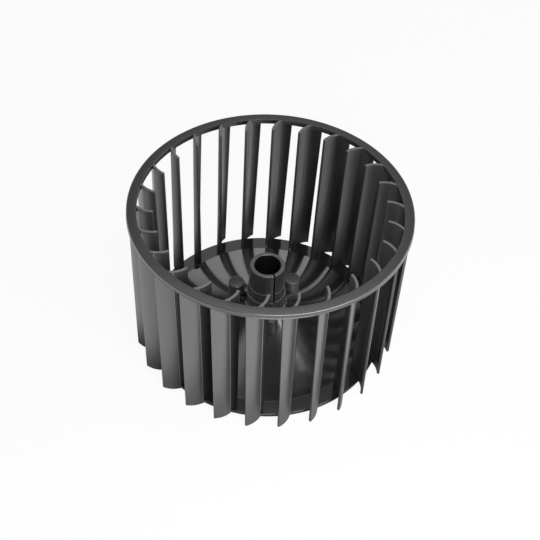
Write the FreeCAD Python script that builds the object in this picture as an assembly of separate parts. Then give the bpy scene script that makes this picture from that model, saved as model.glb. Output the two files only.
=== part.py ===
import FreeCAD, Part
import math
import os

# Blower impeller, moulded in one piece: a ring and a back plate joined by curved blades,
# with a cone that rises from the plate to a stepped hub. Millimetres, +Z up.
# The origin is on the shaft's axis, level with the feet of the blades.

# Whole wheel
OVERALL_HEIGHT = 100.0
BLADE_COUNT = 26

# Ring at the open side
RING_OUTER_RADIUS = 80.0
RING_WIDTH = 5.6
RING_THICKNESS = 3.2
RING_TOP_CHAMFER = 0.6
RING_UNDERSIDE_CHAMFER = 0.3

# Blades, curved along one arc, tapered so that the mould halves draw apart
BLADE_THICKNESS = 1.5
BLADE_CURVE_RADIUS = 14.45
BLADE_OUTLET_ANGLE = 20.3
BLADE_SETBACK = 1.7
BLADE_DEPTH = 13.1
BLADE_OUTER_TAPER = 0.9
BLADE_INNER_TAPER = 2.3
BLADE_TRIM_ANGLE = 4.0
FIRST_BLADE_ANGLE = -3.8

# Back plate: a flat rim, then a cone of the same wall up to the hub
PLATE_MOULD_GAP = 3.5
PLATE_THICKNESS = 2.3
PLATE_RECESS = 0.7
PLATE_RIM_WIDTH = 9.3
PLATE_EDGE_CHAMFER = 0.4
CONE_ANGLE = 21.4

# Hub: a sleeve in three steps above the cone, and a boss below it
HUB_RADIUS = 10.2
HUB_WALL = 2.3
HUB_LENGTH = 30.1
HUB_SHOULDER = 0.6
HUB_SHOULDER_DEPTH = 15.1
HUB_COLLAR = 1.5
HUB_COLLAR_DEPTH = 21.7
HUB_ROOT_FLARE = 1.6
HUB_EDGE_CHAMFER = 0.4
BOSS_LENGTH = 15.0

# Socket in the hub for the nut on the shaft's end, and the slot through its wall
SOCKET_DEPTH = 25.7
SLOT_WIDTH = 1.0
SLOT_DEPTH = 24.0
SLOT_ANGLE = -63.0

# Bore for the motor's shaft
SHAFT_RADIUS = 4.0
SHAFT_LEAD_IN = 0.6

# Round posts on the cone about the hub
POST_COUNT = 3
POST_RADIUS = 4.8
POST_CIRCLE_RADIUS = 19.3
POST_HEIGHT = 9.6
POST_EDGE_CHAMFER = 0.5
FIRST_POST_ANGLE = 39.2

# Places that follow from the sizes above
ring_inner_radius = RING_OUTER_RADIUS - RING_WIDTH
ring_underside = OVERALL_HEIGHT - RING_THICKNESS
plate_radius = ring_inner_radius - PLATE_MOULD_GAP
plate_top = PLATE_RECESS + PLATE_THICKNESS
cone_foot_radius = plate_radius - PLATE_RIM_WIDTH
cone_slope = math.tan(math.radians(CONE_ANGLE))
underside_foot_radius = cone_foot_radius - PLATE_THICKNESS * math.tan(math.radians(CONE_ANGLE / 2))
shoulder_radius = HUB_RADIUS + HUB_SHOULDER
collar_radius = HUB_RADIUS + HUB_COLLAR
socket_radius = HUB_RADIUS - HUB_WALL

AXIS = FreeCAD.Vector(0, 0, 1)
CENTRE = FreeCAD.Vector(0, 0, 0)


def cone_height(radius):
    """Height of the cone's upper face at a distance from the axis."""
    return plate_top + (cone_foot_radius - radius) * cone_slope


def underside_height(radius):
    """Height of the cone's lower face at a distance from the axis."""
    return PLATE_RECESS + (underside_foot_radius - radius) * cone_slope


hub_root = cone_height(collar_radius)
hub_top = hub_root + HUB_LENGTH
boss_bottom = hub_root - BOSS_LENGTH
socket_floor = hub_top - SOCKET_DEPTH


def revolve(outline):
    """Solid of revolution about the axis from (radius, height) corners."""
    corners = [FreeCAD.Vector(radius, 0, height) for radius, height in outline]
    wire = Part.makePolygon(corners + corners[:1])
    return Part.Face(wire).revolve(CENTRE, AXIS, 360)


def ring():
    return revolve([
        (ring_inner_radius, ring_underside),
        (RING_OUTER_RADIUS - RING_UNDERSIDE_CHAMFER, ring_underside),
        (RING_OUTER_RADIUS, ring_underside + RING_UNDERSIDE_CHAMFER),
        (RING_OUTER_RADIUS, OVERALL_HEIGHT - RING_TOP_CHAMFER),
        (RING_OUTER_RADIUS - RING_TOP_CHAMFER, OVERALL_HEIGHT),
        (ring_inner_radius, OVERALL_HEIGHT),
    ])


def back_plate():
    """Flat rim and cone of one wall thickness, with the stepped hub and its boss."""
    shoulder = hub_top - HUB_SHOULDER_DEPTH
    collar = hub_top - HUB_COLLAR_DEPTH
    flare_radius = collar_radius + HUB_ROOT_FLARE
    return revolve([
        (0, boss_bottom),
        (collar_radius - HUB_EDGE_CHAMFER, boss_bottom),
        (collar_radius, boss_bottom + HUB_EDGE_CHAMFER),
        (collar_radius, underside_height(collar_radius) - HUB_ROOT_FLARE),
        (flare_radius, underside_height(flare_radius)),
        (underside_foot_radius, PLATE_RECESS),
        (plate_radius, PLATE_RECESS),
        (plate_radius, plate_top - PLATE_EDGE_CHAMFER),
        (plate_radius - PLATE_EDGE_CHAMFER, plate_top),
        (cone_foot_radius, plate_top),
        (flare_radius, cone_height(flare_radius)),
        (collar_radius, hub_root + HUB_ROOT_FLARE),
        (collar_radius, collar),
        (shoulder_radius, collar),
        (shoulder_radius, shoulder),
        (HUB_RADIUS, shoulder),
        (HUB_RADIUS, hub_top - HUB_EDGE_CHAMFER),
        (HUB_RADIUS - HUB_EDGE_CHAMFER, hub_top),
        (0, hub_top),
    ])


def blade():
    """One blade, full height: an upright curved strip, trimmed at both ends for the draw."""
    middle = BLADE_CURVE_RADIUS - BLADE_THICKNESS / 2
    outlet_top = RING_OUTER_RADIUS - BLADE_SETBACK
    inlet_top = outlet_top - BLADE_DEPTH
    outlet = math.radians(BLADE_OUTLET_ANGLE)
    reach = math.sqrt(outlet_top ** 2 - (middle * math.sin(outlet)) ** 2)
    curve_centre = reach - middle * math.cos(outlet)

    def angle_at(radius):
        """Where along the curve the strip's middle is at this distance from the axis."""
        cosine = (radius ** 2 - curve_centre ** 2 - middle ** 2) / (2 * curve_centre * middle)
        return math.degrees(math.acos(cosine))

    outlet_head = angle_at(outlet_top)
    outlet_foot = angle_at(outlet_top - BLADE_OUTER_TAPER)
    inlet_head = angle_at(inlet_top)
    inlet_foot = angle_at(inlet_top - BLADE_INNER_TAPER)
    strip = curved_strip(outlet_head - BLADE_TRIM_ANGLE, inlet_foot + BLADE_TRIM_ANGLE)
    strip = strip.cut(end_trim(outlet_foot, outlet_head, -1))
    strip = strip.cut(end_trim(inlet_foot, inlet_head, 1))
    strip.translate(FreeCAD.Vector(curve_centre, 0, 0))
    return strip


def curved_strip(start, end):
    """Strip of the blade's thickness between two angles of its curve, about the origin."""
    inside = BLADE_CURVE_RADIUS - BLADE_THICKNESS
    outer = Part.makeCylinder(BLADE_CURVE_RADIUS, OVERALL_HEIGHT, CENTRE, AXIS, end - start)
    inner = Part.makeCylinder(inside, OVERALL_HEIGHT, CENTRE, AXIS, end - start)
    strip = outer.cut(inner)
    strip.rotate(CENTRE, AXIS, start)
    return strip


def end_trim(foot_angle, head_angle, side):
    """Block past one end of the strip, whose face leans from the foot's end to the head's."""
    middle = BLADE_CURVE_RADIUS - BLADE_THICKNESS / 2
    shift = middle * math.radians(head_angle - foot_angle)
    lean = math.degrees(math.atan(shift / OVERALL_HEIGHT))
    overhang = BLADE_THICKNESS
    width = BLADE_THICKNESS + 2 * overhang
    height = OVERALL_HEIGHT + 2 * overhang
    length = 2 * abs(shift) + middle * math.radians(2 * BLADE_TRIM_ANGLE)
    near_side = 0 if side > 0 else -length
    corner = FreeCAD.Vector(middle - width / 2, near_side, -overhang)
    block = Part.makeBox(width, length, height, corner)
    block.rotate(FreeCAD.Vector(middle, 0, 0), FreeCAD.Vector(1, 0, 0), -lean)
    block.rotate(CENTRE, AXIS, foot_angle)
    return block


def turned_copies(shape, count, first_angle):
    copies = []
    for number in range(count):
        copy = shape.copy()
        copy.rotate(CENTRE, AXIS, first_angle + number * 360 / count)
        copies.append(copy)
    return copies


def post():
    """Round post standing on the cone, sunk halfway into its wall."""
    base = Part.makeCylinder(
        POST_RADIUS,
        POST_HEIGHT + cone_height(POST_CIRCLE_RADIUS),
        FreeCAD.Vector(POST_CIRCLE_RADIUS, 0, 0),
    )
    top_edges = [edge for edge in base.Edges if edge.BoundBox.ZMin > POST_HEIGHT]
    base = base.makeChamfer(POST_EDGE_CHAMFER, top_edges)
    sunk = PLATE_THICKNESS / 2
    below_the_wall = revolve([
        (0, 0),
        (cone_foot_radius, 0),
        (cone_foot_radius, plate_top - sunk),
        (0, cone_height(0) - sunk),
    ])
    return base.cut(below_the_wall)


def shaft_bore():
    """Round bore from the boss to the socket, with a conical lead-in at its lower mouth."""
    mouth = boss_bottom + SHAFT_LEAD_IN
    return revolve([
        (0, boss_bottom),
        (SHAFT_RADIUS + SHAFT_LEAD_IN, boss_bottom),
        (SHAFT_RADIUS, mouth),
        (SHAFT_RADIUS, socket_floor),
        (0, socket_floor),
    ])


def hub_socket():
    """Round socket in the top of the hub, with a slot through one side of its wall."""
    socket = Part.makeCylinder(socket_radius, SOCKET_DEPTH, FreeCAD.Vector(0, 0, socket_floor))
    slot = Part.makeBox(
        collar_radius + HUB_WALL,
        SLOT_WIDTH,
        SLOT_DEPTH,
        FreeCAD.Vector(0, -SLOT_WIDTH / 2, hub_top - SLOT_DEPTH),
    )
    slot.rotate(CENTRE, AXIS, SLOT_ANGLE)
    return socket.fuse(slot)


def impeller():
    blades = turned_copies(blade(), BLADE_COUNT, FIRST_BLADE_ANGLE)
    posts = turned_copies(post(), POST_COUNT, FIRST_POST_ANGLE)
    wheel = back_plate().fuse(posts)
    wheel = wheel.cut(shaft_bore()).cut(hub_socket())
    wheel = wheel.fuse(blades + [ring()])
    return wheel.removeSplitter()


os.makedirs("parts", exist_ok=True)
wheel = impeller()
print("impeller", len(wheel.Solids), "solid", wheel.isValid(), round(wheel.Volume / 1000, 2), "cm3")
wheel.exportStep("parts/impeller.step")
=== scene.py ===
import math

import bpy
from mathutils import Matrix, Vector

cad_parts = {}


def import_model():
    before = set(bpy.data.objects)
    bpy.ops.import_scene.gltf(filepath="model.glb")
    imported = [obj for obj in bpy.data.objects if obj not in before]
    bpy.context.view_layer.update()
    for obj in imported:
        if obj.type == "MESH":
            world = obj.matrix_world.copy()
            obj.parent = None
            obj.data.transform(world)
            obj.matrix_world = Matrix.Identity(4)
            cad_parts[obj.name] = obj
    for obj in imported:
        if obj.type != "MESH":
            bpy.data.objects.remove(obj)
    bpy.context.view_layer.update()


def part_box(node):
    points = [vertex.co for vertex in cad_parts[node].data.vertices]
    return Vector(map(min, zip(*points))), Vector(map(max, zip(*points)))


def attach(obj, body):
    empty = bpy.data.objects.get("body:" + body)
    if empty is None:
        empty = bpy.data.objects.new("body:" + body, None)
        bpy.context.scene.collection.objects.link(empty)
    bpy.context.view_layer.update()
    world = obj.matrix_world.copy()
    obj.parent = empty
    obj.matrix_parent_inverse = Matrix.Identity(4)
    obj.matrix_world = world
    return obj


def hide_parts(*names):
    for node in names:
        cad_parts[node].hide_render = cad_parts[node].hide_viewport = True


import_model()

MM = 0.001
FULL_TURN = 2 * math.pi
QUARTER_TURN = math.pi / 2
NODE = "impeller"
low_corner, high_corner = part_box(NODE)
feet_level = low_corner.z
ring_top = high_corner.z

# Ring
ring_outer = 80 * MM
ring_inner = 74.4 * MM
ring_underside = ring_top - 3.2 * MM
ring_top_round = 0.8 * MM
ring_underside_round = 0.4 * MM
ring_inner_chamfer = 0.15 * MM
ring_lip = 0.13 * MM

# Blades, which lean back from foot to head for the draw of the mould
blade_count = 26
blade_thickness = 1.5 * MM
blade_curve = 14.45 * MM
blade_centre = 65.3 * MM
blade_first_turn = math.radians(-3.8)
blade_levels = 10
blade_edge_round = 0.2 * MM
foot_outlet_turn = math.radians(30.4)
foot_inlet_turn = math.radians(106.0)
head_lag = math.radians(-9.9)
head_margin = 0.5 * MM
head_below_ring_top = 0.02 * MM

# The line on each blade where the halves of the mould met
foot_parting_turn = math.radians(72.5)
parting_foot_radius = 71.0 * MM
parting_head_radius = 73.1 * MM
parting_half_width = 0.17 * MM
parting_height = 0.12 * MM

# Back plate: a flat rim, then a cone up to the hub
plate_rim = 70.9 * MM
plate_low = 0.7 * MM
plate_wall = 2.3 * MM
plate_top = plate_low + plate_wall
plate_edge_round = 0.2 * MM
cone_foot = 61.6 * MM
cone_foot_round = 0.3 * MM
cone_angle = math.radians(21.4)
cone_slope = math.tan(cone_angle)

# Hub: a sleeve in three steps above the cone, and a boss below it
collar = 11.7 * MM
shoulder = 10.8 * MM
sleeve = 10.2 * MM
socket = 7.9 * MM
shaft = 4.0 * MM
shaft_lead_in = 0.6 * MM
hub_root = plate_top + (cone_foot - collar) * cone_slope
hub_root_round = 2.5 * MM
hub_edge_round = 0.5 * MM
hub_top = hub_root + 30.1 * MM
shoulder_level = hub_top - 15.1 * MM
collar_level = hub_top - 21.7 * MM
socket_floor = hub_top - 25.7 * MM
boss_low = hub_root - 15 * MM
slot_width = 1.0 * MM
slot_depth = 24 * MM
slot_turn = math.radians(-63)
slot_past_wall = 4 * MM
slot_past_top = 2 * MM

# Flat marks of the mould's ejector pins, where the plate's rim meets the cone
pin_radius = 2.2 * MM
pin_circle = 60.8 * MM
pin_turns = [math.radians(turn) for turn in (55, 138, 235, 318)]
pin_level = 2.85 * MM
pin_cutter_height = 4 * MM

# Posts on the cone
post_count = 3
post_radius = 4.8 * MM
post_circle = 19.3 * MM
post_height = 9.6 * MM
post_sunk = 3.5 * MM
post_edge_round = 0.5 * MM
post_first_turn = math.radians(39.2)

# Facets of a full turn; eight for each blade, so that all blades meet the ring alike
turn_steps = 8 * blade_count
trim_steps = 96
trim_depth = 5 * MM

# Points this close together are one, and shorter edges than the sliver go
same_place = 0.002 * MM
sliver = 0.001 * MM


def cone_top(radius):
    """Height of the cone's upper face at a distance from the axis."""
    return plate_top + (cone_foot - radius) * cone_slope


def deselect():
    if bpy.context.object and bpy.context.object.mode != "OBJECT":
        bpy.ops.object.mode_set(mode="OBJECT")
    bpy.ops.object.select_all(action="DESELECT")


def pick(piece):
    deselect()
    piece.select_set(True)
    bpy.context.view_layer.objects.active = piece


def apply_all(piece):
    pick(piece)
    for modifier in list(piece.modifiers):
        bpy.ops.object.modifier_apply(modifier=modifier.name)


def settle():
    """Puts the new piece's place and size into its mesh."""
    bpy.ops.object.transform_apply(location=True, rotation=True, scale=True)
    return bpy.context.object


def bevel(piece, width, segments, angle=math.radians(35)):
    """Rounds the edges that are sharper than the angle."""
    rounding = piece.modifiers.new("rounded edges", "BEVEL")
    rounding.width = width
    rounding.segments = segments
    rounding.limit_method = "ANGLE"
    rounding.angle_limit = angle
    rounding.use_clamp_overlap = True
    apply_all(piece)


def combine(piece, other, operation):
    """Boolean of two closed pieces; the other one is used up."""
    joint = piece.modifiers.new("combine", "BOOLEAN")
    joint.operation = operation
    joint.object = other
    joint.solver = "MANIFOLD"
    apply_all(piece)
    bpy.data.objects.remove(other)


def join(pieces):
    deselect()
    for piece in pieces:
        piece.select_set(True)
    bpy.context.view_layer.objects.active = pieces[0]
    bpy.ops.object.join()
    return bpy.context.object


def turn_about_axis(piece, angle):
    piece.data.transform(Matrix.Rotation(angle, 4, "Z"))


def copies_about_axis(piece, count, first_turn):
    """The piece and its copies, each with its own mesh, turned about the wheel's axis."""
    copies = []
    for number in range(count):
        copy = piece.copy()
        copy.data = piece.data.copy()
        bpy.context.collection.objects.link(copy)
        turn_about_axis(copy, first_turn + number * FULL_TURN / count)
        copies.append(copy)
    bpy.data.objects.remove(piece)
    return copies


def one_vertex(name, place):
    """A plane merged to a single vertex, which is left selected in edit mode."""
    deselect()
    bpy.ops.mesh.primitive_plane_add(size=MM)
    piece = bpy.context.object
    piece.name = name
    bpy.ops.object.mode_set(mode="EDIT")
    bpy.ops.mesh.select_all(action="SELECT")
    bpy.ops.mesh.merge(type="CENTER")
    bpy.ops.transform.translate(value=place)
    return piece


def extrude(step):
    """Extrudes what is selected; its far end stays selected."""
    bpy.ops.mesh.extrude_region_move(TRANSFORM_OT_translate={"value": step})


def merge_doubles():
    bpy.ops.mesh.select_all(action="SELECT")
    bpy.ops.mesh.remove_doubles(threshold=same_place)


def face_outwards():
    """The last step in edit mode for a closed piece."""
    bpy.ops.mesh.select_all(action="SELECT")
    bpy.ops.mesh.normals_make_consistent(inside=False)
    bpy.ops.object.mode_set(mode="OBJECT")


def lathe(name, points, steps=turn_steps):
    """Closed solid of revolution from a chain of (radius, height) points."""
    radius, height = points[0]
    piece = one_vertex(name, (radius, 0, height))
    for (r0, z0), (r1, z1) in zip(points, points[1:]):
        extrude((r1 - r0, 0, z1 - z0))
    bpy.ops.mesh.select_all(action="SELECT")
    bpy.ops.mesh.spin(
        steps=steps, angle=FULL_TURN, center=(0, 0, 0), axis=(0, 0, 1), use_auto_merge=True
    )
    merge_doubles()
    bpy.ops.mesh.dissolve_degenerate(threshold=sliver)
    face_outwards()
    return piece


def arc(centre, radius, start, end, steps):
    """Points on an arc about a centre in the radius and height plane."""
    points = []
    for step in range(steps + 1):
        turn = start + (end - start) * step / steps
        points.append((centre[0] + radius * math.cos(turn), centre[1] + radius * math.sin(turn)))
    return points


def round_corner(before, corner, after, radius, steps):
    """Points on the arc that rounds a corner and meets both of its straight sides."""
    before, corner, after = Vector(before), Vector(corner), Vector(after)
    side_before = (before - corner).normalized()
    side_after = (after - corner).normalized()
    half_angle = side_before.angle(side_after) / 2
    reach = radius / math.tan(half_angle)
    start = corner + side_before * reach
    end = corner + side_after * reach
    centre = corner + (side_before + side_after).normalized() * (radius / math.sin(half_angle))
    points = []
    for step in range(steps + 1):
        spoke = start.lerp(end, step / steps) - centre
        spot = centre + spoke.normalized() * radius
        points.append((spot.x, spot.y))
    return points


def ring():
    """The ring, with the mould's fine lip low on its outer wall."""
    top = ring_top_round
    low = ring_underside_round
    inner = ring_inner_chamfer
    wall = ring_outer - ring_lip
    points = [(ring_inner, ring_underside + inner), (ring_inner + inner, ring_underside)]
    points += arc((ring_outer - low, ring_underside + low), low, -QUARTER_TURN, 0, steps=5)
    points += [(ring_outer, ring_underside + low + ring_lip)]
    points += [(wall, ring_underside + low + 2 * ring_lip)]
    points += arc((wall - top, ring_top - top), top, 0, QUARTER_TURN, steps=6)
    points += [(ring_inner + inner, ring_top), (ring_inner, ring_top - inner)]
    points.append(points[0])
    return lathe("ring", points)


def back_plate():
    """The plate's rim, its cone, the stepped hub and the boss, from the bore's mouth round."""
    return lathe("back_plate", underside_points() + rim_points() + hub_points())


def underside_points():
    """From the mouth of the bore, up the boss and down under the cone to the rim's edge."""
    edge = hub_edge_round
    root = hub_root_round
    foot_under = cone_foot - plate_wall * math.tan(cone_angle / 2)
    under_boss = plate_low + (foot_under - collar) * cone_slope
    points = [(shaft + shaft_lead_in, boss_low), (collar - edge, boss_low)]
    points += arc((collar - edge, boss_low + edge), edge, -QUARTER_TURN, 0, steps=4)
    reach = root * math.tan((QUARTER_TURN + cone_angle) / 2)
    centre = (collar + root, under_boss - reach)
    points += arc(centre, root, math.pi, QUARTER_TURN - cone_angle, steps=8)
    points += [(foot_under, plate_low), (plate_rim - plate_edge_round, plate_low)]
    return points


def rim_points():
    """Round the rim's edge and over its flat face to the foot of the cone."""
    fine = plate_edge_round
    points = [(plate_rim, plate_low + fine)]
    points += arc((plate_rim - fine, plate_top - fine), fine, 0, QUARTER_TURN, steps=3)
    # Close to both of its roundings, so that the rim between them is shaded flat
    points += [(plate_rim - 2 * fine, plate_top), (cone_foot + 2 * fine, plate_top)]
    rim_edge, foot, root = (plate_rim - fine, plate_top), (cone_foot, plate_top), (collar, hub_root)
    points += round_corner(rim_edge, foot, root, cone_foot_round, steps=6)
    return points


def hub_points():
    """From the cone up the steps of the hub, into its socket and down the bore."""
    fine = plate_edge_round
    edge = hub_edge_round
    root = hub_root_round
    reach = root * math.tan((QUARTER_TURN - cone_angle) / 2)
    centre = (collar + root, hub_root + reach)
    points = arc(centre, root, -QUARTER_TURN - cone_angle, -math.pi, steps=8)
    points += arc((collar - fine, collar_level - fine), fine, 0, QUARTER_TURN, steps=3)
    points += [(shoulder, collar_level)]
    points += arc((shoulder - fine, shoulder_level - fine), fine, 0, QUARTER_TURN, steps=3)
    points += [(sleeve, shoulder_level)]
    points += arc((sleeve - edge, hub_top - edge), edge, 0, QUARTER_TURN, steps=5)
    points += [(socket + fine, hub_top), (socket, hub_top - fine), (socket, socket_floor)]
    points += [(shaft, socket_floor), (shaft, boss_low + shaft_lead_in)]
    points += [(shaft + shaft_lead_in, boss_low)]
    return points


def turn_about(pivot, angle):
    """Turns what is selected about a vertical line; with no window the sign is reversed."""
    bpy.ops.transform.rotate(
        value=-angle, orient_axis="Z", orient_type="GLOBAL", center_override=pivot
    )


def sweep_about(pivot, angle, steps):
    """Spins the selected edge about a vertical line; its last copy stays selected."""
    bpy.ops.mesh.spin(steps=steps, angle=-angle, center=pivot, axis=(0, 0, 1))


def scale_about(pivot, factor):
    """Moves what is selected away from a vertical line, or towards it."""
    bpy.ops.transform.resize(
        value=(factor, factor, 1), orient_type="GLOBAL", center_override=pivot
    )


def raise_with_lag(pivot, height):
    """Extrudes what is selected upwards, turning it a little at each level."""
    level = height / blade_levels
    # The last one is short, so that the faces below the rounded head are shaded flat
    for rise in [level] * (blade_levels - 1) + [level - head_margin, head_margin]:
        extrude((0, 0, rise))
        turn_about(pivot, head_lag * rise / height)


def blade():
    """One curved blade: its thickness spun along the arc, then raised to the ring."""
    inside = blade_centre + blade_curve - blade_thickness
    pivot = (blade_centre, 0, 0)
    piece = one_vertex("blade", (inside, 0, feet_level))
    extrude((blade_thickness, 0, 0))
    bpy.ops.mesh.select_all(action="SELECT")
    turn_about(pivot, foot_outlet_turn)
    # Along the arc, with a fine fold where the halves of the mould met
    half = parting_half_width / blade_curve
    swell = 1 + parting_height / blade_curve
    sweep_about(pivot, foot_parting_turn - half - foot_outlet_turn, steps=12)
    sweep_about(pivot, half, steps=1)
    scale_about(pivot, swell)
    sweep_about(pivot, half, steps=1)
    scale_about(pivot, 1 / swell)
    sweep_about(pivot, foot_inlet_turn - foot_parting_turn - half, steps=9)
    merge_doubles()
    raise_with_lag(pivot, ring_top - head_below_ring_top - feet_level)
    face_outwards()
    bevel(piece, blade_edge_round, 2, math.radians(75))
    return piece


def post():
    """One post, with its foot sunk through the cone's wall."""
    deselect()
    low = cone_top(post_circle) - post_sunk
    high = cone_top(post_circle) + post_height
    bpy.ops.mesh.primitive_cylinder_add(
        vertices=64,
        radius=post_radius,
        depth=high - low,
        location=(post_circle, 0, (low + high) / 2),
    )
    piece = settle()
    piece.name = "post"
    bevel(piece, post_edge_round, 4)
    return piece


def below_cone():
    """What lies under the middle of the cone's wall, to trim the posts' feet."""
    middle = plate_wall / 2
    points = [
        (0, -trim_depth),
        (cone_foot, -trim_depth),
        (cone_foot, plate_top - middle),
        (0, cone_top(0) - middle),
    ]
    return lathe("trim", points, trim_steps)


def slot_cutter():
    """A thin block through one side of the hub's wall."""
    deselect()
    length = collar + slot_past_wall
    middle = hub_top - slot_depth / 2 + slot_past_top / 2
    bpy.ops.mesh.primitive_cube_add(size=1, location=(length / 2, 0, middle))
    bpy.context.object.scale = (length, slot_width, slot_depth + slot_past_top)
    piece = settle()
    turn_about_axis(piece, slot_turn)
    return piece


def pin_cutters():
    """Short cylinders that stand on the level of the ejector pins' marks."""
    cutters = []
    middle = pin_level + pin_cutter_height / 2
    for turn in pin_turns:
        deselect()
        bpy.ops.mesh.primitive_cylinder_add(
            vertices=40,
            radius=pin_radius,
            depth=pin_cutter_height,
            location=(pin_circle * math.cos(turn), pin_circle * math.sin(turn), middle),
        )
        cutters.append(settle())
    return join(cutters)


def impeller():
    """The whole moulding as one closed piece."""
    posts = join(copies_about_axis(post(), post_count, post_first_turn))
    combine(posts, below_cone(), "DIFFERENCE")
    wheel = back_plate()
    combine(wheel, pin_cutters(), "DIFFERENCE")
    combine(wheel, slot_cutter(), "DIFFERENCE")
    combine(wheel, posts, "UNION")
    blades = join(copies_about_axis(blade(), blade_count, blade_first_turn))
    combine(wheel, blades, "UNION")
    combine(wheel, ring(), "UNION")
    wheel.name = "impeller_moulding"
    wheel.data.name = "impeller_moulding"
    pick(wheel)
    bpy.ops.object.shade_smooth_by_angle(angle=math.radians(32))
    return wheel


class Value:
    """A shader socket that can be added, subtracted, multiplied and divided like a number."""

    def __init__(self, tree, socket):
        self.tree = tree
        self.socket = socket

    def out(self, name):
        """Another output of the same node."""
        return Value(self.tree, self.socket.node.outputs[name])

    def math(self, operation, *others):
        return self.tree.math(operation, self, *others)

    def __add__(self, other):
        return self.math("ADD", other)

    __radd__ = __add__

    def __mul__(self, other):
        return self.math("MULTIPLY", other)

    __rmul__ = __mul__

    def __sub__(self, other):
        return self.math("SUBTRACT", other)

    def __rsub__(self, other):
        return self.tree.math("SUBTRACT", other, self)

    def __truediv__(self, other):
        return self.math("DIVIDE", other)


class Tree:
    """Builds the nodes of one material, or of the world."""

    def __init__(self, owner):
        owner.use_nodes = True
        self.nodes = owner.node_tree.nodes
        self.links = owner.node_tree.links
        self.nodes.clear()

    def node(self, kind, settings=None, inputs=None):
        """A node with its settings, then its sockets' values or links; gives its first output."""
        made = self.nodes.new(kind)
        for key, value in (settings or {}).items():
            setattr(made, key, value)
        for key, value in (inputs or {}).items():
            if isinstance(value, Value):
                self.links.new(value.socket, made.inputs[key])
            else:
                made.inputs[key].default_value = value
        return Value(self, made.outputs[0]) if made.outputs else None

    def math(self, operation, *values):
        return self.node("ShaderNodeMath", {"operation": operation}, dict(enumerate(values)))

    def step(self, value, low, high, start=0.0, end=1.0):
        """Smooth change from start to end while the value goes from low to high."""
        return self.node(
            "ShaderNodeMapRange",
            {"interpolation_type": "SMOOTHSTEP"},
            {"Value": value, "From Min": low, "From Max": high, "To Min": start, "To Max": end},
        )

    def mix(self, factor, one, two):
        """Colour between two colours."""
        inputs = {0: factor, 6: one, 7: two}
        return self.node("ShaderNodeMix", {"data_type": "RGBA"}, inputs).out(2)

    def apart(self, vector):
        """The three parts of a vector."""
        parts = self.node("ShaderNodeSeparateXYZ", None, {"Vector": vector})
        return [parts.out(axis) for axis in "XYZ"]

    def noise(self, place, scale, detail):
        inputs = {"Vector": place, "Scale": scale, "Detail": detail, "Roughness": 0.55}
        return self.node("ShaderNodeTexNoise", None, inputs)


def blend(factor, one, two):
    """From one to two while the factor goes from 0 to 1."""
    return one + (two - one) * factor


def grey(level):
    return (level, level, level, 1)


WHITE = grey(1)
BLACK = grey(0)
WARM_GREY = (1.02, 1.0, 0.97, 1)

# Reflectance and roughness of each surface, as the mould left it, except where a tone is painted
# light, as noted
FINISH_AND_PAINTED_LIGHT = {
    "hub": (0.008, 0.30),
    # Painted light: faces that look upwards get a lighter tone, as if lit from above
    "ledge": (0.100, 0.34),
    "post": (0.040, 0.30),
    "concave_inside": (0.008, 0.44),
    "concave_outside": (0.010, 0.32),
    "convex_inside": (0.008, 0.52),
    # Painted sheen: the outer convex faces get a lighter tone than the rest of the blade, in place
    # of the light they catch; their lower roughness is the mould's finish
    "convex_outside": (0.060, 0.30),
    # Painted highlight: a bright tone along the parting line on the convex face
    "parting_line": (0.24, 0.40),
    # Painted highlight: a light tone on the blades' heads, where light catches their tops
    "head": (0.110, 0.50),
    "plate": (0.014, 0.15),
    "plate_rim": (0.014, 0.10),
    "ring": (0.024, 0.28),
}
GLOSS_IOR = 2.0
CLOUD_SCALE, CLOUD_DETAIL = 55.0, 4.0
CLOUD_ON_TONE, CLOUD_ON_ROUGHNESS = 0.3, 0.08
GRAIN_SCALE, GRAIN_DETAIL = 2600.0, 2.0
GRAIN_STRENGTH = 0.03
GRAIN_HEIGHT = 0.05 * MM


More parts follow.
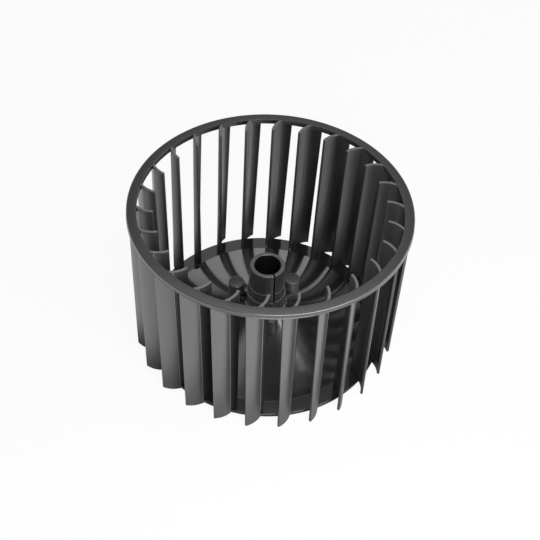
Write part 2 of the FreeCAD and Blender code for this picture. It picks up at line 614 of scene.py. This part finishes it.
def finish_and_painted_light_zones(tree, coordinates):
    """Masks of the surfaces with their own finish, and of those with painted light; later ones lie
    over earlier ones.
    """
    x, y, z = tree.apart(coordinates.out("Object"))
    facing_x, facing_y, facing_z = tree.apart(coordinates.out("Normal"))
    radius = (x * x + y * y).math("SQRT")
    facing_along = (x * facing_y - y * facing_x) / radius

    # Painted light: faces that look upwards are made lighter
    painted_top_light = tree.step(facing_z, 0.4, 0.7)
    on_post = tree.step(radius, collar + 1.6 * MM, collar + 2.4 * MM)

    # Blades: two sides, each parted by the line where the halves of the mould met
    on_blade = tree.step(radius, cone_foot, cone_foot + MM)
    lean = (parting_head_radius - parting_foot_radius) / (ring_top - feet_level)
    past_line = radius - (parting_foot_radius + (z - feet_level) * lean)
    outside = tree.step(past_line, -0.05 * MM, 0.05 * MM)
    convex = tree.step(facing_along, -0.1, 0.1)
    # Painted highlight along the parting line
    parting_highlight = tree.step(past_line.math("ABSOLUTE"), 0.10 * MM, 0.16 * MM, 1.0, 0.0)
    # Painted highlight on the blades' heads
    head_highlight = tree.step(facing_z, 0.5, 0.8)
    head_highlight = head_highlight * tree.step(z, ring_underside, ring_top - 0.5 * MM)

    # Plate: near the level of the rim and the cone, and no farther out than the rim
    cone_rise = tree.math("MAXIMUM", cone_foot * cone_slope - radius * cone_slope, 0.0)
    above_plate = z - plate_top - cone_rise
    on_plate = tree.step(above_plate, 0.4 * MM, 1.2 * MM, 1.0, 0.0)
    on_plate = on_plate * tree.step(radius, plate_rim, plate_rim + 0.2 * MM, 1.0, 0.0)
    on_rim = tree.step(radius, cone_foot - 0.1 * MM, cone_foot + 0.1 * MM)

    on_ring = tree.step(z, ring_underside - 0.2 * MM, ring_underside)
    on_ring = on_ring * tree.step(radius, ring_inner - 0.6 * MM, ring_inner)
    return {
        "ledge": painted_top_light,
        "post": on_post,
        "concave_inside": on_blade,
        "concave_outside": on_blade * outside,
        "convex_inside": on_blade * convex,
        # Painted sheen on the outer convex faces
        "convex_outside": on_blade * convex * outside,
        "parting_line": on_blade * convex * parting_highlight,
        "head": head_highlight,
        "plate": on_plate,
        "plate_rim": on_plate * on_rim,
        "ring": on_ring,
    }


def black_plastic():
    """Charcoal moulded plastic with the mould's finishes, painted light on upward faces, painted
    sheen on the blades' outer faces, painted highlights on parting lines and blade heads, faint
    clouds and a fine grain.
    """
    material = bpy.data.materials.new("black_plastic")
    tree = Tree(material)
    coordinates = tree.node("ShaderNodeTexCoord")
    tone, roughness = FINISH_AND_PAINTED_LIGHT["hub"]
    for name, mask in finish_and_painted_light_zones(tree, coordinates).items():
        tone = blend(mask, tone, FINISH_AND_PAINTED_LIGHT[name][0])
        roughness = blend(mask, roughness, FINISH_AND_PAINTED_LIGHT[name][1])
    place = coordinates.out("Object")
    cloud = tree.noise(place, CLOUD_SCALE, CLOUD_DETAIL)
    tone = tone * (1 - CLOUD_ON_TONE / 2 + cloud * CLOUD_ON_TONE)
    roughness = roughness + (cloud - 0.5) * CLOUD_ON_ROUGHNESS
    grain = tree.noise(place, GRAIN_SCALE, GRAIN_DETAIL)
    bump_inputs = {"Height": grain, "Strength": GRAIN_STRENGTH, "Distance": GRAIN_HEIGHT}
    surface = {
        "Base Color": tree.mix(tone, BLACK, WARM_GREY),
        "Roughness": roughness,
        "Normal": tree.node("ShaderNodeBump", None, bump_inputs),
        "IOR": GLOSS_IOR,
    }
    shader = tree.node("ShaderNodeBsdfPrincipled", None, surface)
    tree.node("ShaderNodeOutputMaterial", None, {"Surface": shader})
    return material


FLOOR_RADIUS = 3.0
FLOOR_BELOW_FEET = 0.05 * MM
FLOOR_WHITE = 0.92
FLOOR_TO_CAMERA = grey(0.9)
# Floor colour for the rays that light or mirror the wheel; inside the painted shade round the
# wheel, reflections see only this grey lit floor
FLOOR_TO_WHEEL = grey(0.4)


def stage_white():
    """White floor that keeps a faint shadow; in reflections it is white beyond a painted shade
    round the wheel, inside which it mirrors as lit grey.
    """
    material = bpy.data.materials.new("stage_white")
    tree = Tree(material)
    path = tree.node("ShaderNodeLightPath")
    to_camera = path.out("Is Camera Ray")
    direct = to_camera + path.out("Is Transmission Ray")
    x, y, _ = tree.apart(tree.node("ShaderNodeTexCoord").out("Object"))
    distance = (x * x + y * y).math("SQRT")
    # Painted shade: near the wheel the floor mirrors as the dim lit grey, not white
    past_painted_shade = tree.step(distance, ring_outer, 1.3 * ring_outer)
    plain = direct.math("MINIMUM", 1.0) * FLOOR_WHITE + path.out("Is Glossy Ray") * past_painted_shade
    colour = tree.mix(to_camera, FLOOR_TO_WHEEL, FLOOR_TO_CAMERA)
    lit = tree.node("ShaderNodeBsdfDiffuse", None, {"Color": colour})
    white = tree.node("ShaderNodeEmission", None, {"Color": WHITE, "Strength": 1.0})
    shader = tree.node("ShaderNodeMixShader", None, {0: plain, 1: lit, 2: white})
    tree.node("ShaderNodeOutputMaterial", None, {"Surface": shader})
    return material


def stage():
    deselect()
    bpy.ops.mesh.primitive_circle_add(
        vertices=96,
        radius=FLOOR_RADIUS,
        fill_type="NGON",
        location=(0, 0, feet_level - FLOOR_BELOW_FEET),
    )
    floor = settle()
    floor.name = "floor"
    floor.data.materials.append(stage_white())


# Strength of the studio's light by the height of its direction, from the horizon up
SKY = [(0.0, 1.0), (0.25, 1.0), (0.45, 0.15), (0.75, 0.15), (0.9, 0.04), (1.0, 0.04)]


def world():
    """A bright backdrop low down and a dark room above it; plain white to the camera."""
    sky = bpy.data.worlds.new("studio")
    bpy.context.scene.world = sky
    tree = Tree(sky)
    path = tree.node("ShaderNodeLightPath")
    direct = path.out("Is Camera Ray") + path.out("Is Transmission Ray")
    height = tree.apart(tree.node("ShaderNodeTexCoord").out("Generated"))[2]
    strength = SKY[0][1]
    for (low, before), (high, after) in zip(SKY, SKY[1:]):
        strength = strength + tree.step(height, low, high, 0.0, after - before)
    strength = blend(direct, strength, 1.0)
    light = tree.node("ShaderNodeBackground", None, {"Color": WHITE, "Strength": strength})
    tree.node("ShaderNodeOutputWorld", None, {"Surface": light})


# Place, size and power of each soft lamp; all of them face the middle of the wheel
LAMPS = {
    "front_right": ((0.9, -0.9, 0.35), (0.8, 0.6), 12),
    "right": ((1.2, 0.1, 0.4), (0.8, 0.6), 4),
    "near_front": ((0.06, -0.28, 0.30), (0.2, 0.2), 0.8),
    "ceiling": ((-0.07, 0.25, 1.05), (0.80, 0.66), 1.7),
    "back": ((0.04, 1.10, 1.05), (0.50, 0.30), 0.165),
    "key": ((0.19, 0.015, 0.485), (0.05, 0.05), 0.05),
    "side_key": ((0.52, 0.15, 0.92), (0.16, 0.16), 0.05),
}
LAMP_TARGET = Vector((0, 0, 0.05))


def lights():
    for name, (place, size, power) in LAMPS.items():
        data = bpy.data.lights.new(name, "AREA")
        data.shape = "RECTANGLE"
        data.size, data.size_y = size
        data.energy = power
        lamp = bpy.data.objects.new(name, data)
        bpy.context.scene.collection.objects.link(lamp)
        lamp.location = place
        aim = LAMP_TARGET - Vector(place)
        lamp.rotation_euler = aim.to_track_quat("-Z", "Y").to_euler()


def camera():
    """The photograph's view: about 47 degrees down, turned a little about its own axis."""
    focal_pixels = 1160.27
    image_pixels = 540
    centre_x, centre_y = 267.46, 267.68
    elevation = math.radians(46.83)
    roll = math.radians(3.31)
    distance = 8.4783 * ring_outer
    target = Vector((0, 0, ring_top - 0.62355 * ring_outer))
    data = bpy.data.cameras.new("camera")
    data.sensor_fit = "HORIZONTAL"
    data.sensor_width = 36
    data.lens = focal_pixels / image_pixels * data.sensor_width
    data.shift_x = (image_pixels / 2 - centre_x) / image_pixels
    data.shift_y = -(image_pixels / 2 - centre_y) / image_pixels
    data.clip_start = 0.01
    eye = bpy.data.objects.new("camera", data)
    bpy.context.scene.collection.objects.link(eye)
    back = Vector((0, -math.cos(elevation), math.sin(elevation)))
    right = Vector((1, 0, 0))
    up = back.cross(right)
    right_rolled = right * math.cos(roll) + up * math.sin(roll)
    up_rolled = up * math.cos(roll) - right * math.sin(roll)
    turn = Matrix((right_rolled, up_rolled, back)).transposed().to_4x4()
    eye.matrix_world = Matrix.Translation(target + back * distance) @ turn
    bpy.context.scene.camera = eye


wheel = impeller()
wheel.data.materials.clear()
wheel.data.materials.append(black_plastic())
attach(wheel, "root")
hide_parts(NODE)

stage()
world()
lights()
camera()
bpy.context.scene.view_settings.view_transform = "Standard"
